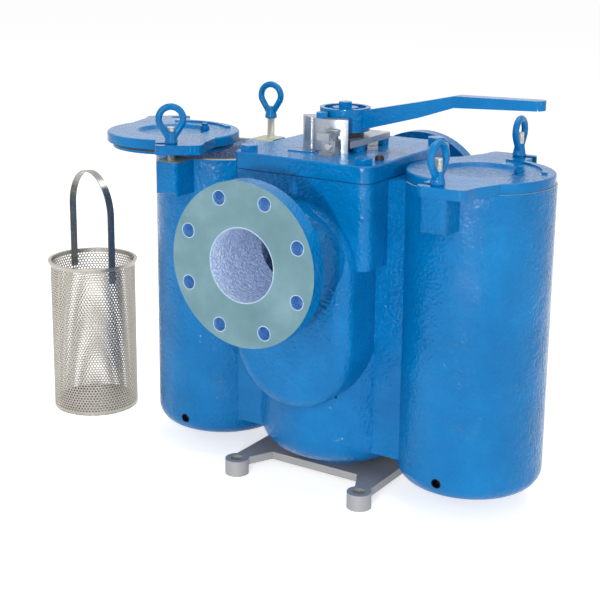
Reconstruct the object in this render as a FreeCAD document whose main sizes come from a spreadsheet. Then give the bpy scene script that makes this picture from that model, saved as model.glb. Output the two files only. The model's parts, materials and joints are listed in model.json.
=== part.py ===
import FreeCAD, Part
import math
import os
import Sketcher

# Duplex sea water strainer, modelled in millimetres with +Z up.
# Origin: on the floor, under the axis of the diverter stem.
# +X runs from the idle chamber to the working chamber, -Y is the side of the outlet flange.

Vector = FreeCAD.Vector
Rotation = FreeCAD.Rotation
Placement = FreeCAD.Placement

document = FreeCAD.newDocument("sea_water_strainer")
sheet = document.addObject("Spreadsheet::Sheet", "Dimensions")


# ---- sizes -------------------------------------------------------------------------------------

class Size:
    """A size known both as a number and as the formula that the document works it out with."""

    def __init__(self, number, formula):
        self.number = number
        self.formula = formula

    def __add__(self, other):
        return Size(self.number + number(other), "(%s + %s)" % (self.formula, formula(other)))

    def __sub__(self, other):
        return Size(self.number - number(other), "(%s - %s)" % (self.formula, formula(other)))

    def __mul__(self, other):
        return Size(self.number * number(other), "(%s * %s)" % (self.formula, formula(other)))

    def __truediv__(self, other):
        return Size(self.number / number(other), "(%s / %s)" % (self.formula, formula(other)))

    def __radd__(self, other):
        return Size(number(other) + self.number, "(%s + %s)" % (formula(other), self.formula))

    def __rsub__(self, other):
        return Size(number(other) - self.number, "(%s - %s)" % (formula(other), self.formula))

    def __neg__(self):
        return Size(-self.number, "(0 - %s)" % self.formula)


def number(size):
    return size.number if isinstance(size, Size) else float(size)


def formula(size):
    return size.formula if isinstance(size, Size) else repr(float(size))


def dimension(alias, value):
    """Write one driving dimension into the next row of the sheet, and return it as a Size."""
    dimension.row += 1
    sheet.set("A%d" % dimension.row, alias)
    sheet.set("B%d" % dimension.row, str(value))
    sheet.setAlias("B%d" % dimension.row, alias)
    return Size(float(value), "Dimensions.%s" % alias)


dimension.row = 0


def across(radius, degrees):
    """The first coordinate of the point at an angle on a circle."""
    value = number(radius) * math.cos(math.radians(number(degrees)))
    return Size(value, "(%s * cos(%s))" % (formula(radius), formula(degrees)))


def along(radius, degrees):
    """The second coordinate of the point at an angle on a circle."""
    value = number(radius) * math.sin(math.radians(number(degrees)))
    return Size(value, "(%s * sin(%s))" % (formula(radius), formula(degrees)))


# body casting
facing_height = dimension("facing_height", 473)
chamber_offset = dimension("chamber_offset", 220)
chamber_radius = dimension("chamber_radius", 106)
chamber_wall = dimension("chamber_wall", 10)
chamber_underside = dimension("chamber_underside", 32)
chamber_floor = dimension("chamber_floor", 12)
chamber_rounding = dimension("chamber_rounding", 26)
ledge_thickness = dimension("ledge_thickness", 10)
ledge_opening = dimension("ledge_opening", 72.8)
core_radius = dimension("core_radius", 122)
core_underside = dimension("core_underside", 38)
core_rounding = dimension("core_rounding", 40)
foundry_pad_left = dimension("foundry_pad_left", 13)
foundry_pad_right = dimension("foundry_pad_right", 34)
foundry_pad_low = dimension("foundry_pad_low", 48)
foundry_pad_high = dimension("foundry_pad_high", 26)
foundry_pad_height = dimension("foundry_pad_height", 2)
bore_radius = dimension("bore_radius", 94)
bore_floor = dimension("bore_floor", 56)
block_width = dimension("block_width", 228)
block_depth = dimension("block_depth", 256)
block_height = dimension("block_height", 125)
block_rounding = dimension("block_rounding", 17)
edge_rounding = dimension("edge_rounding", 6)
housing_depth = dimension("housing_depth", 142)
throat_depth = dimension("throat_depth", 144)
throat_low = dimension("throat_low", 62)
throat_high = dimension("throat_high", 349)
port_width = dimension("port_width", 88)
port_over_ledge = dimension("port_over_ledge", 12)
upper_port_high = dimension("upper_port_high", 430)
lower_port_low = dimension("lower_port_low", 90)
lower_port_high = dimension("lower_port_high", 265)
outlet_low = dimension("outlet_low", 150)
outlet_width = dimension("outlet_width", 116)
hump_half = dimension("hump_half", 98)
hump_low = dimension("hump_low", 232)
hump_high = dimension("hump_high", 343)
hump_front = dimension("hump_front", 155)
hump_wall = dimension("hump_wall", 14)
hump_rounding = dimension("hump_rounding", 24)
boss_radius = dimension("boss_radius", 62)
drain_height = dimension("drain_height", 57)
drain_radius = dimension("drain_radius", 6)

# flanges, identical at the front and at the rear
flange_face = dimension("flange_face", 264)
flange_height = dimension("flange_height", 374)
flange_radius = dimension("flange_radius", 114.3)
flange_thickness = dimension("flange_thickness", 24)
flange_bore = dimension("flange_bore", 51)
bolt_circle = dimension("bolt_circle", 190.5)
bolt_hole = dimension("bolt_hole", 9.5)
neck_radius = dimension("neck_radius", 67)
neck_flare = dimension("neck_flare", 24)

# cover studs, their lugs and the eye nuts
stud_reach = dimension("stud_reach", 132)
stud_radius = dimension("stud_radius", 6)
stud_top = dimension("stud_top", 50)
stud_depth = dimension("stud_depth", 45)
lug_half = dimension("lug_half", 20)
lug_height = dimension("lug_height", 50)
lug_reach = dimension("lug_reach", 148)
lug_rounding = dimension("lug_rounding", 7)
thread_clearance = dimension("thread_clearance", 0.05)
eye_ring = dimension("eye_ring", 18)
eye_wire = dimension("eye_wire", 5)
eye_height = dimension("eye_height", 37)
eye_collar = dimension("eye_collar", 10)
eye_neck = dimension("eye_neck", 6.8)
eye_neck_top = dimension("eye_neck_top", 19)
eye_foot = dimension("eye_foot", 4)

# covers
cover_radius = dimension("cover_radius", 104)
cover_thickness = dimension("cover_thickness", 14.5)
spigot_depth = dimension("spigot_depth", 9)
spigot_clearance = dimension("spigot_clearance", 0.6)
dish_radius = dimension("dish_radius", 57)
dish_depth = dimension("dish_depth", 4)
ear_narrow = dimension("ear_narrow", 24)
ear_wide = dimension("ear_wide", 46)
ear_reach = dimension("ear_reach", 20)
slot_half = dimension("slot_half", 7.5)
rib_outer = dimension("rib_outer", 92)
rib_inner = dimension("rib_inner", 84)
rib_height = dimension("rib_height", 2.2)
vent_across = dimension("vent_across", 49)
vent_along = dimension("vent_along", 20)
vent_radius = dimension("vent_radius", 7)
cover_raised = dimension("cover_raised", 10.8)
cover_swing = dimension("cover_swing", 36.6)
nut_backed_off = dimension("nut_backed_off", 31.8)

# bonnet and what stands on it
gasket_thickness = dimension("gasket_thickness", 1.5)
bonnet_top = dimension("bonnet_top", 25)
bonnet_boss_radius = dimension("bonnet_boss_radius", 34)
bonnet_boss_top = dimension("bonnet_boss_top", 34)
bonnet_bolt_inset = dimension("bonnet_bolt_inset", 19)
bonnet_bolt_radius = dimension("bonnet_bolt_radius", 8)
bonnet_bolt_head = dimension("bonnet_bolt_head", 8.5)
bonnet_bolt_length = dimension("bonnet_bolt_length", 53)
bonnet_cap_across = dimension("bonnet_cap_across", 98)
bonnet_cap_along = dimension("bonnet_cap_along", 70)
bonnet_cap_radius = dimension("bonnet_cap_radius", 6.5)
blank_pad_left = dimension("blank_pad_left", 48)
blank_pad_right = dimension("blank_pad_right", 8)
blank_pad_front = dimension("blank_pad_front", 80)
blank_pad_depth = dimension("blank_pad_depth", 13)
blank_pad_slant = dimension("blank_pad_slant", 4)
stop_plate_top = dimension("stop_plate_top", 43)
stop_plate_left = dimension("stop_plate_left", 42)
stop_plate_right = dimension("stop_plate_right", 44)
stop_plate_front = dimension("stop_plate_front", 60)
stop_plate_rear = dimension("stop_plate_rear", 62)
stop_screw_across = dimension("stop_screw_across", 36)
stop_screw_front = dimension("stop_screw_front", 20)
stop_screw_rear = dimension("stop_screw_rear", 52)
stop_screw_radius = dimension("stop_screw_radius", 3)
stop_screw_head = dimension("stop_screw_head", 5)
stop_screw_sunk = dimension("stop_screw_sunk", 3)
stop_screw_depth = dimension("stop_screw_depth", 12)
seal_radius = dimension("seal_radius", 28)
seal_top = dimension("seal_top", 50)
lock_block_inner = dimension("lock_block_inner", 42)
lock_block_outer = dimension("lock_block_outer", 61.5)
lock_block_top = dimension("lock_block_top", 73)
lock_block_start = dimension("lock_block_start", 215)
lock_block_middle = dimension("lock_block_middle", 260)
lock_block_end = dimension("lock_block_end", 305)
lock_bolt_across = dimension("lock_bolt_across", 9)
lock_bolt_along = dimension("lock_bolt_along", 50)
lock_bolt_radius = dimension("lock_bolt_radius", 4)
lock_groove_across = dimension("lock_groove_across", 20)
lock_groove_along = dimension("lock_groove_along", 61)
lock_groove_radius = dimension("lock_groove_radius", 5)
latch_across = dimension("latch_across", 19)
latch_width = dimension("latch_width", 22)
latch_front = dimension("latch_front", 77)
latch_top = dimension("latch_top", 60)
slide_width = dimension("slide_width", 12)
slide_thickness = dimension("slide_thickness", 6)
slide_travel = dimension("slide_travel", 8)
slide_tip = dimension("slide_tip", 36.2)
slide_head_width = dimension("slide_head_width", 20)
latch_depth = dimension("latch_depth", 12)
latch_notch = dimension("latch_notch", 4.5)
latch_toe = dimension("latch_toe", 8)
latch_toe_height = dimension("latch_toe_height", 5)
latch_screw_radius = dimension("latch_screw_radius", 4.5)
latch_screw_height = dimension("latch_screw_height", 12)
running_clearance = dimension("running_clearance", 0.3)

# diverter and lever
stem_radius = dimension("stem_radius", 16)
pivot_radius = dimension("pivot_radius", 14)
pivot_depth = dimension("pivot_depth", 14)
rotor_low = dimension("rotor_low", 60)
rotor_high = dimension("rotor_high", 462)
rotor_plate = dimension("rotor_plate", 10)
divider_height = dimension("divider_height", 298)
gate_thickness = dimension("gate_thickness", 12)
gate_angle = dimension("gate_angle", 100)
hub_radius = dimension("hub_radius", 26)
key_width = dimension("key_width", 8)
lever_head_radius = dimension("lever_head_radius", 37.5)
lever_head_low = dimension("lever_head_low", 60)
lever_head_top = dimension("lever_head_top", 84)
lever_collar_radius = dimension("lever_collar_radius", 36.5)
lever_start = dimension("lever_start", 46)
lever_rise = dimension("lever_rise", 126)
lever_rise_low = dimension("lever_rise_low", 79.5)
lever_rise_top = dimension("lever_rise_top", 102)
lever_bend = dimension("lever_bend", 180)
lever_reach = dimension("lever_reach", 310)
lever_bend_height = dimension("lever_bend_height", 114.5)
lever_end_height = dimension("lever_end_height", 117.5)
lever_thickness = dimension("lever_thickness", 14.5)
lever_width = dimension("lever_width", 22)
recess_radius = dimension("recess_radius", 31)
recess_depth = dimension("recess_depth", 3.5)
lever_notch = dimension("lever_notch", 27.6)
lever_bolt_radius = dimension("lever_bolt_radius", 5)
lever_bolt_across = dimension("lever_bolt_across", 19)
lever_washer_radius = dimension("lever_washer_radius", 19)
lever_washer_height = dimension("lever_washer_height", 3)

# foot bracket
foot_across = dimension("foot_across", 107.5)
foot_along = dimension("foot_along", 124)
foot_radius = dimension("foot_radius", 18)
foot_height = dimension("foot_height", 24)
foot_web = dimension("foot_web", 12)
foot_hole = dimension("foot_hole", 9.5)
foot_notch = dimension("foot_notch", 75)
foot_bolt_spacing = dimension("foot_bolt_spacing", 62)
foot_bolt_radius = dimension("foot_bolt_radius", 6)
foot_throat = dimension("foot_throat", 24)

# strainer baskets
basket_radius = dimension("basket_radius", 71.2)
basket_wall = dimension("basket_wall", 1.5)
basket_height = dimension("basket_height", 258)
basket_rim_radius = dimension("basket_rim_radius", 75.2)
basket_rim_height = dimension("basket_rim_height", 7)
bail_clearance = dimension("bail_clearance", 5)
basket_clearance = dimension("basket_clearance", 5)
bail_width = dimension("bail_width", 12)
bail_thickness = dimension("bail_thickness", 2)
loose_across = dimension("loose_across", -486)
loose_along = dimension("loose_along", -15)

# how the eye nuts and the bails are turned about their own upright axes, in degrees
right_front_turn = dimension("right_front_turn", 84)
right_rear_turn = dimension("right_rear_turn", 92)
left_front_turn = dimension("left_front_turn", 38.5)
left_rear_turn = dimension("left_rear_turn", 5)
bail_turn = dimension("bail_turn", 90)
spare_bail_turn = dimension("spare_bail_turn", -21)

# sizes that follow from others: the ledge from the basket, the bail from the cover above it,
# the upper ports from the ledge, and the bonnet bolts from the edge of the block
ledge_height = chamber_underside + chamber_floor + basket_clearance + basket_height - basket_rim_height
upper_port_low = ledge_height + port_over_ledge
bail_height = facing_height - spigot_depth - ledge_height - basket_rim_height - bail_clearance
bonnet_bolt_across = block_width / 2 - bonnet_bolt_inset
bonnet_bolt_along = block_depth / 2 - bonnet_bolt_inset
block_underside = facing_height - block_height


# ---- building blocks -----------------------------------------------------------------------------

UPRIGHT = Rotation()
LENGTHWISE = Rotation(Vector(1, 0, 0), -90)
SIDEWAYS = Rotation(Vector(0, 1, 0), 90)


def bind(thing, name, size):
    """Tie one property to its formula."""
    thing.setExpression(name, formula(size))


def place(thing, x=0, y=0, z=0, rotation=UPRIGHT):
    """Put an object at a point whose coordinates follow the sheet."""
    thing.Placement = Placement(Vector(number(x), number(y), number(z)), rotation)
    for axis, size in (("x", x), ("y", y), ("z", z)):
        if isinstance(size, Size):
            bind(thing, "Placement.Base." + axis, size)
    return thing


def turn(thing, degrees):
    """Turn an object about its own upright axis by an angle that follows the sheet."""
    thing.Placement.Rotation = Rotation(Vector(0, 0, 1), number(degrees))
    bind(thing, "Placement.Rotation.Angle", degrees)
    return thing


def cylinder(radius, length, x=0, y=0, z=0, rotation=UPRIGHT):
    thing = document.addObject("Part::Cylinder", "cylinder")
    bind(thing, "Radius", radius)
    bind(thing, "Height", length)
    return place(thing, x, y, z, rotation)


def cone(radius, end_radius, length, x=0, y=0, z=0, rotation=UPRIGHT):
    thing = document.addObject("Part::Cone", "cone")
    bind(thing, "Radius1", radius)
    bind(thing, "Radius2", end_radius)
    bind(thing, "Height", length)
    return place(thing, x, y, z, rotation)


def box(left, right, front, back, low, high):
    """A box between six planes."""
    thing = document.addObject("Part::Box", "box")
    bind(thing, "Length", span(left, right))
    bind(thing, "Width", span(front, back))
    bind(thing, "Height", span(low, high))
    return place(thing, left, front, low)


def span(start, end):
    return Size(number(end) - number(start), "(%s - %s)" % (formula(end), formula(start)))


def hexagon(across_flats, height, x=0, y=0, z=0, rotation=UPRIGHT):
    """A hexagon bar with its flats facing the second axis."""
    thing = document.addObject("Part::Prism", "prism")
    thing.Polygon = 6
    to_corner = Size(number(across_flats) / math.sqrt(3), "(%s / sqrt(3))" % formula(across_flats))
    bind(thing, "Circumradius", to_corner)
    bind(thing, "Height", height)
    return place(thing, x, y, z, rotation)


def fuse(*things):
    """Join pieces one after another into one shape."""
    joined = things[0]
    for thing in things[1:]:
        step = document.addObject("Part::Fuse", "fusion")
        step.Base = joined
        step.Tool = thing
        joined = step
    return joined


def apart(*things):
    """Several separate shapes that do not touch, handled as one."""
    group = document.addObject("Part::MultiFuse", "group")
    group.Shapes = list(things)
    return group


def cut(base, *tools):
    """Take tools away from a base one after another."""
    left = base
    for tool in tools:
        step = document.addObject("Part::Cut", "cut")
        step.Base = left
        step.Tool = tool
        left = step
    return left


def common(*things):
    shared = document.addObject("Part::MultiCommon", "common")
    shared.Shapes = list(things)
    return shared


def ring(outer, inner, low, high, x=0, y=0):
    """A flat ring about an upright axis."""
    return cut(cylinder(outer, span(low, high), x, y, low), cylinder(inner, span(low, high), x, y, low))


def new_body(name):
    return document.addObject("PartDesign::Body", name)


def new_sketch(body, role):
    """An empty sketch on one of the body's own origin planes."""
    sketch = body.newObject("Sketcher::SketchObject", "outline")
    plane = [feature for feature in body.Origin.OriginFeatures if feature.Role == role][0]
    sketch.AttachmentSupport = [(plane, "")]
    sketch.MapMode = "FlatFace"
    return sketch


def hold(sketch, kind, geometry, point, size):
    """Fix one coordinate of a sketch point, measured from the sketch's origin."""
    if number(size) == 0 and not isinstance(size, Size):
        axis = -2 if kind == "DistanceX" else -1
        sketch.addConstraint(Sketcher.Constraint("PointOnObject", geometry, point, axis))
        return
    index = sketch.addConstraint(Sketcher.Constraint(kind, -1, 1, geometry, point, number(size)))
    bind(sketch, "Constraints[%d]" % index, size)


def polygon(body, role, corners):
    """A closed outline of straight sides, every corner held at its own two sizes."""
    sketch = new_sketch(body, role)
    points = [Vector(number(x), number(y), 0) for x, y in corners]
    count = len(corners)
    for index in range(count):
        sketch.addGeometry(Part.LineSegment(points[index], points[(index + 1) % count]), False)
    for index in range(count):
        sketch.addConstraint(Sketcher.Constraint("Coincident", index, 2, (index + 1) % count, 1))
    for index, (x, y) in enumerate(corners):
        hold(sketch, "DistanceX", index, 1, x)
        hold(sketch, "DistanceY", index, 1, y)
    return sketch


def pad(body, sketch, length, both_ways=False):
    feature = body.newObject("PartDesign::Pad", "pad")
    feature.Profile = sketch
    if both_ways:
        feature.SideType = "Symmetric"
    bind(feature, "Length", length)
    return feature


def slab(name, corners, low, high):
    """A flat piece with a straight-sided outline in plan."""
    body = new_body(name)
    pad(body, polygon(body, "XY_Plane", corners), span(low, high))
    return place(body, 0, 0, low)


def side_piece(name, corners, width):
    """A piece with a straight-sided outline seen from the front, as thick as width about the middle."""
    body = new_body(name)
    pad(body, polygon(body, "XZ_Plane", corners), width, True)
    return body


def turned(name, corners):
    """A piece turned about the upright axis from its half section, given as radius and height."""
    body = new_body(name)
    sketch = polygon(body, "XZ_Plane", corners)
    feature = body.newObject("PartDesign::Revolution", "revolution")
    feature.Profile = sketch
    feature.ReferenceAxis = (sketch, ["V_Axis"])
    feature.Angle = 360
    return body


def rounded(body, radius, chosen):
    """Round the edges of a body's newest feature that the rule picks."""
    document.recompute()
    base = body.Tip
    names = ["Edge%d" % (i + 1) for i, edge in enumerate(base.Shape.Edges) if chosen(edge)]
    feature = body.newObject("PartDesign::Fillet", "rounding")
    feature.Base = (base, names)
    bind(feature, "Radius", radius)
    return body


def is_upright(edge):
    box_of_edge = edge.BoundBox
    return box_of_edge.XLength < 1e-6 and box_of_edge.YLength < 1e-6


def is_on_top(edge, height):
    """Whether an edge of a slab lies in its upper face."""
    return edge.BoundBox.ZMin > number(height) - 1e-4


def at_level(level):
    """A rule that picks the edges lying in one level plane."""
    def chosen(edge):
        low, high = edge.BoundBox.ZMin, edge.BoundBox.ZMax
        return max(abs(low - number(level)), abs(high - number(level))) < 1e-4
    return chosen


def named(thing, label):
    """Give a finished sub-part the label that names its file."""
    thing.Label = label
    SUB_PARTS.append(thing)
    return thing


SUB_PARTS = []


def facing(offset):
    """A height measured from the machined facing plane that covers and bonnet stand on."""
    return facing_height + offset


# ---- body casting --------------------------------------------------------------------------------

def upright_slot(half, low, high, front, back):
    """A stadium seen from the front: two upright sides closed by half rounds, front to back."""
    body = new_body("upright_slot")
    sketch = new_sketch(body, "XZ_Plane")
    radius, bottom, top = number(half), number(low), number(high)
    upper = Part.Circle(Vector(0, top, 0), Vector(0, 0, 1), radius)
    lower = Part.Circle(Vector(0, bottom, 0), Vector(0, 0, 1), radius)
    sketch.addGeometry(Part.ArcOfCircle(upper, 0, math.pi), False)
    sketch.addGeometry(Part.LineSegment(Vector(-radius, top, 0), Vector(-radius, bottom, 0)), False)
    sketch.addGeometry(Part.ArcOfCircle(lower, math.pi, 2 * math.pi), False)
    sketch.addGeometry(Part.LineSegment(Vector(radius, bottom, 0), Vector(radius, top, 0)), False)
    for index in range(4):
        sketch.addConstraint(Sketcher.Constraint("Tangent", index, 2, (index + 1) % 4, 1))
    sketch.addConstraint(Sketcher.Constraint("PointOnObject", 0, 3, -2))
    sketch.addConstraint(Sketcher.Constraint("PointOnObject", 2, 3, -2))
    sketch.addConstraint(Sketcher.Constraint("Vertical", 1))
    hold(sketch, "DistanceY", 0, 3, high)
    hold(sketch, "DistanceY", 2, 3, low)
    index = sketch.addConstraint(Sketcher.Constraint("Radius", 0, radius))
    bind(sketch, "Constraints[%d]" % index, half)
    pad(body, sketch, span(front, back), True)
    return place(body, 0, (back + front) / 2, 0)


def chamber(side):
    """One upright strainer chamber, closed and rounded below."""
    body = turned("chamber", [(0, chamber_underside), (chamber_radius, chamber_underside),
                              (chamber_radius, facing_height), (0, facing_height)])
    rounded(body, chamber_rounding, at_level(chamber_underside))
    return place(body, chamber_offset * side, 0, 0)


def chamber_bore(side):
    """The room inside a chamber: above the basket ledge, through it and below it."""
    inner = chamber_radius - chamber_wall
    low = chamber_underside + chamber_floor
    under_ledge = ledge_height - ledge_thickness
    body = turned("chamber_bore", [(0, low), (inner, low), (inner, under_ledge), (ledge_opening, under_ledge),
                                   (ledge_opening, ledge_height), (inner, ledge_height),
                                   (inner, facing_height + 1), (0, facing_height + 1)])
    rounded(body, chamber_rounding - chamber_wall, at_level(low))
    return place(body, chamber_offset * side, 0, 0)


def lug(side, end):
    """The square lug on a chamber that a cover stud screws into, with its outer edges rounded."""
    inner = chamber_radius - chamber_wall + 1
    across_at = chamber_offset * side
    left, right = across_at - lug_half, across_at + lug_half
    near, far = inner * end, lug_reach * end
    arm = slab("lug", [(left, near), (right, near), (right, far), (left, far)],
               facing_height - lug_height, facing_height)
    limit = number(lug_reach) - 0.1

    def is_outer(edge):
        return abs(edge.CenterOfMass.y) > limit and not is_on_top(edge, lug_height)
    return rounded(arm, lug_rounding, is_outer)


def flange(end):
    """A flange with its neck, turned about the pipe line; end is -1 at the front and 1 at the rear."""
    back = flange_face - flange_thickness
    inside = core_radius - 12
    body = turned("flange", [(0, inside), (neck_radius, inside), (neck_radius, back), (flange_radius, back),
                             (flange_radius, flange_face), (0, flange_face)])
    rounded(body, 9, neck_corner(back))
    return on_pipe_line(body, end)


def on_pipe_line(body, end):
    """Lay a piece that was turned upright along the pipe line, its top outward."""
    body.Placement = Placement(Vector(0, 0, number(flange_height)), Rotation(Vector(1, 0, 0), -90 * end))
    bind(body, "Placement.Base.z", flange_height)
    return body


def neck_root(end):
    """The hollow rounding where a neck leaves the hump in front, or the valve block at the rear."""
    root = hump_front if end < 0 else block_depth / 2
    wide = neck_radius + neck_flare + 1
    body = turned("root", [(0, root - 20), (wide, root - 20), (wide, root), (neck_radius, root),
                           (neck_radius, root + neck_flare + 2), (0, root + neck_flare + 2)])
    rounded(body, neck_flare, neck_corner(root))
    return on_pipe_line(body, end)


def neck_corner(level):
    """A rule that picks the round inner corner between a neck and its flange."""
    on_level = at_level(level)

    def chosen(edge):
        return on_level(edge) and abs(edge.BoundBox.XLength - 2 * number(neck_radius)) < 1
    return chosen


def flange_bore_tool(end):
    """A flange's bore: into the outlet passage in front, into the diverter's room at the rear."""
    outside = flange_face + 1
    depth = outside - core_radius if end < 0 else outside - 60
    return cylinder(flange_bore, depth, 0, outside * end, flange_height, Rotation(Vector(1, 0, 0), 90 * end))


def flange_drilling(end):
    """The eight bolt holes of a flange, on a circle and straddling the centre lines."""
    start = (flange_face + 1) * end
    rotation = Rotation(Vector(1, 0, 0), 90 * end)
    tools = []
    for index in range(8):
        degrees = 22.5 + 45 * index
        tools.append(cylinder(bolt_hole, flange_thickness + 2, across(bolt_circle / 2, degrees), start,
                              flange_height + along(bolt_circle / 2, degrees), rotation))
    return tools


def core():
    """The upright barrel that the diverter turns in."""
    top = block_underside + 15
    body = turned("core", [(0, core_underside), (core_radius, core_underside), (core_radius, top), (0, top)])
    return rounded(body, core_rounding, at_level(core_underside))


def block():
    """The square valve block at the top of the barrel."""
    half_width, half_depth = block_width / 2, block_depth / 2
    body = slab("block", [(-half_width, -half_depth), (half_width, -half_depth),
                          (half_width, half_depth), (-half_width, half_depth)],
                block_underside, facing_height)
    rounded(body, block_rounding, is_upright)
    return rounded(body, edge_rounding, at_level(0))


def hump():
    """The swelling in front that carries the outlet down from the flange, rounded round its outline."""
    body = upright_slot(hump_half, hump_low, hump_high, -hump_front, -hump_wall)
    limit = 1 - number(span(hump_wall, hump_front)) / 2

    def is_front(edge):
        return edge.CenterOfMass.y < limit and edge.BoundBox.YLength < 1e-4
    return rounded(body, hump_rounding, is_front)


def foundry_pad():
    """A small plain raised pad beside the front neck."""
    face = block_depth / 2
    front, back = -face - foundry_pad_height, -face + 5
    low, high = facing(-foundry_pad_low), facing(-foundry_pad_high)
    return box(foundry_pad_left, foundry_pad_right, front, back, low, high)


def webs():
    """The walls that join the barrel to both chambers, round the water ways between them."""
    reach = chamber_offset - chamber_radius + 38
    housing = box(-reach, reach, -housing_depth / 2, housing_depth / 2, block_underside, facing_height)
    throat = box(-reach, reach, -throat_depth / 2, throat_depth / 2, throat_low, throat_high)
    return [housing, throat]


def neck_roots():
    """The root roundings of both necks, the front one trimmed to the hump, the rear one to the block."""
    front = upright_slot(hump_half - 1, hump_low, hump_high, -hump_front - neck_flare - 5, -hump_front + 5)
    half_width = block_width / 2
    rear = box(-half_width, half_width, 0, flange_face, block_underside, facing_height)
    return [common(neck_root(-1), front), common(neck_root(1), rear)]


def water_ways():
    """The room of the diverter, its pivot hole, and the passages to the chambers and to the outlet."""
    half_port, half_outlet = port_width / 2, outlet_width / 2
    reach = chamber_offset - chamber_radius + 26
    cavity = upright_slot(hump_half - hump_wall, hump_low, hump_high, -hump_front + 12, -40)
    return [cylinder(bore_radius, facing_height - bore_floor + 1, 0, 0, bore_floor),
            cylinder(pivot_radius + 0.05, pivot_depth + 1, 0, 0, bore_floor - pivot_depth),
            box(-reach, reach, -half_port, half_port, upper_port_low, upper_port_high),
            box(-reach, reach, -half_port, half_port, lower_port_low, lower_port_high),
            cut(cavity, cylinder(bore_radius + 12, facing_height, 0, 0, 0)),
            box(-half_outlet, half_outlet, -core_radius, -60, outlet_low, lower_port_high)]


def drain_hole(side):
    length = chamber_rounding + chamber_wall + 12
    start = -chamber_radius - 1
    return cylinder(drain_radius, length, chamber_offset * side, start, drain_height, LENGTHWISE)


def corner_drilling(side, end):
    """The blind holes of one quarter: cover stud, bonnet bolt and foot bolt."""
    bonnet_hole = bonnet_bolt_length - bonnet_top + 2
    half = foot_bolt_spacing / 2
    stud_hole = cylinder(stud_radius, stud_depth + 1, chamber_offset * side, stud_reach * end,
                         facing(-stud_depth))
    return [stud_hole,
            cylinder(bonnet_bolt_radius, bonnet_hole + 1, bonnet_bolt_across * side, bonnet_bolt_along * end,
                     facing(-bonnet_hole)),
            cylinder(foot_bolt_radius, 21, half * side, half * end, foot_height - 1)]


def body_casting():
    """The one casting: barrel, block, hump, both chambers with their lugs, and both flanges."""
    boss = cylinder(boss_radius, core_underside - foot_height + core_rounding, 0, 0, foot_height)
    solid = [core(), block(), hump(), *webs(), boss, foundry_pad()]
    hollow = []
    drilling = []
    for side in (-1, 1):
        solid.append(chamber(side))
        hollow.append(chamber_bore(side))
        hollow.append(drain_hole(side))
        for end in (-1, 1):
            solid.append(lug(side, end))
            drilling.extend(corner_drilling(side, end))
    solid.extend(neck_roots())
    for end in (-1, 1):
        solid.append(flange(end))
        hollow.append(flange_bore_tool(end))
        drilling.extend(flange_drilling(end))
    return named(cut(fuse(*solid), apart(*drilling), *hollow, *water_ways()), "body_casting")


# ---- foot bracket --------------------------------------------------------------------------------

def foot_bracket():
    """The forged bracket under the body: four thick feet joined by a web that is notched at both ends."""
    edge, toe = foot_across + 10, foot_across - 8
    notch = toe - foot_throat
    low = foot_height - foot_web
    half = foot_bolt_spacing / 2
    web = slab("web", [(-edge, -foot_along), (-toe, -foot_along), (-notch, -foot_notch), (notch, -foot_notch),
                       (toe, -foot_along), (edge, -foot_along), (edge, foot_along), (toe, foot_along),
                       (notch, foot_notch), (-notch, foot_notch), (-toe, foot_along), (-edge, foot_along)],
               low, foot_height)
    solid = [web]
    holes = []
    for side in (-1, 1):
        for end in (-1, 1):
            solid.append(cylinder(foot_radius, foot_height, foot_across * side, foot_along * end, 0))
            holes.append(cylinder(foot_hole, foot_height + 2, foot_across * side, foot_along * end, -1))
            holes.append(cylinder(foot_bolt_radius, foot_web + 2, half * side, half * end, low - 1))
    return named(cut(fuse(*solid), apart(*holes)), "foot_bracket")


def foot_bolts():
    """The four hexagon bolts that hold the bracket under the body."""
    bolts = []
    low = foot_height - foot_web
    for side in (-1, 1):
        for end in (-1, 1):
            x, y = foot_bolt_spacing * side / 2, foot_bolt_spacing * end / 2
            shank = cylinder(foot_bolt_radius, foot_web + 18, x, y, low)
            bolts.append(fuse(hexagon(18, 7, x, y, low - 7), shank))
    return named(apart(*bolts), "foot_bolts")


# ---- bonnet --------------------------------------------------------------------------------------

def bonnet_plate(name, low, high):
    half_width, half_depth = block_width / 2, block_depth / 2
    plate = slab(name, [(-half_width, -half_depth), (half_width, -half_depth),
                        (half_width, half_depth), (-half_width, half_depth)], facing(low), facing(high))
    return rounded(plate, block_rounding, is_upright)


def bonnet_drilling():
    return [cylinder(bonnet_bolt_radius, 40, bonnet_bolt_across * side, bonnet_bolt_along * end, facing(-1))
            for side in (-1, 1) for end in (-1, 1)]


def bonnet():
    plate = bonnet_plate("bonnet_plate", gasket_thickness, bonnet_top)
    rounded(plate, 3, at_level(span(facing(gasket_thickness), facing(bonnet_top))))
    spigot = cylinder(bore_radius - 0.5, 12, 0, 0, facing(-8))
    boss = cylinder(bonnet_boss_radius, span(bonnet_top - 5, bonnet_boss_top), 0, 0, facing(bonnet_top - 5))
    tools = bonnet_drilling()
    tools.append(cylinder(stem_radius + 8, 80, 0, 0, facing(-20)))
    pads = []
    low = bonnet_top - 2
    for y in (-stop_screw_front, stop_screw_rear):
        pads.append(cylinder(8, span(low, bonnet_boss_top), stop_screw_across, y, facing(low)))
        tools.append(cylinder(stop_screw_radius, 30, stop_screw_across, y,
                              facing(bonnet_top - stop_screw_depth)))
    return named(cut(fuse(plate, spigot, boss, blank_pad(), *pads), *tools), "bonnet")


def blank_pad():
    """The plain raised pad on the bonnet, set a little askew."""
    near, far = -blank_pad_front, -blank_pad_front + blank_pad_depth
    corners = [(-blank_pad_left, near), (-blank_pad_right, near + blank_pad_slant),
               (-blank_pad_right, far + blank_pad_slant), (-blank_pad_left, far)]
    return slab("blank_pad", corners, facing(bonnet_top - 2), facing(bonnet_top + 1.5))


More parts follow.
